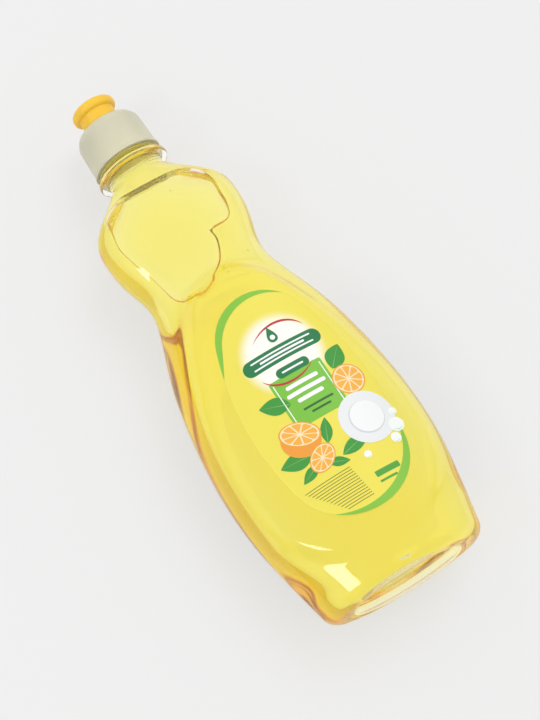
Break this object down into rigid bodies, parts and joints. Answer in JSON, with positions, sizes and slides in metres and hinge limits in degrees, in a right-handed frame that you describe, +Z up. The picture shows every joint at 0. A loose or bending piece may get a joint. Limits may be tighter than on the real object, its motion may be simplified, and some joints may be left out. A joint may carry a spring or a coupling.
{
  "type": "dish soap bottle",
  "caption": "Waisted clear bottle of yellow dish soap lying on its back, with a front film label, a frosted screw cap and an orange push-pull spout knob.",
  "frame": {"origin": "on the ground under the middle of the lying bottle", "axes": "+Y along the neck towards the cap, +Z up out of the label, X across the bottle"},
  "size_m": [0.0909, 0.2504, 0.0495],
  "materials": {
    "clear_pet": "clear blow-moulded polyester, glossy",
    "yellow_soap": "clear yellow liquid soap",
    "printed_film": "yellow printed film, satin",
    "liner_foam": "white foamed polyethylene",
    "frosted_pp": "natural frosted polypropylene",
    "orange_pe": "orange moulded polyethylene, satin"
  },
  "bodies": {
    "bottle": {"bottle": "clear_pet", "dish_soap": "yellow_soap", "front_label": "printed_film"},
    "liner": {"sealing_liner": "liner_foam"},
    "cap": {"screw_cap": "frosted_pp"},
    "knob": {"pull_knob": "orange_pe"}
  },
  "joints": [
    {"name": "cap_lift", "type": "slide", "parent": "bottle", "child": "liner", "axis": [0, 1, 0], "range_m": [0, 0.008]},
    {"name": "cap_turn", "type": "hinge", "parent": "liner", "child": "cap", "pos_m": [0, 0.1093, 0.0245], "axis": [0, 1, 0], "range_deg": [0, 900]},
    {"name": "knob_pull", "type": "slide", "parent": "cap", "child": "knob", "axis": [0, 1, 0], "range_m": [0, 0.0065]}
  ],
  "couplings": [
    {"joint": "cap_lift", "follows": "cap_turn", "m_per_rad": 0.00050612}
  ]
}
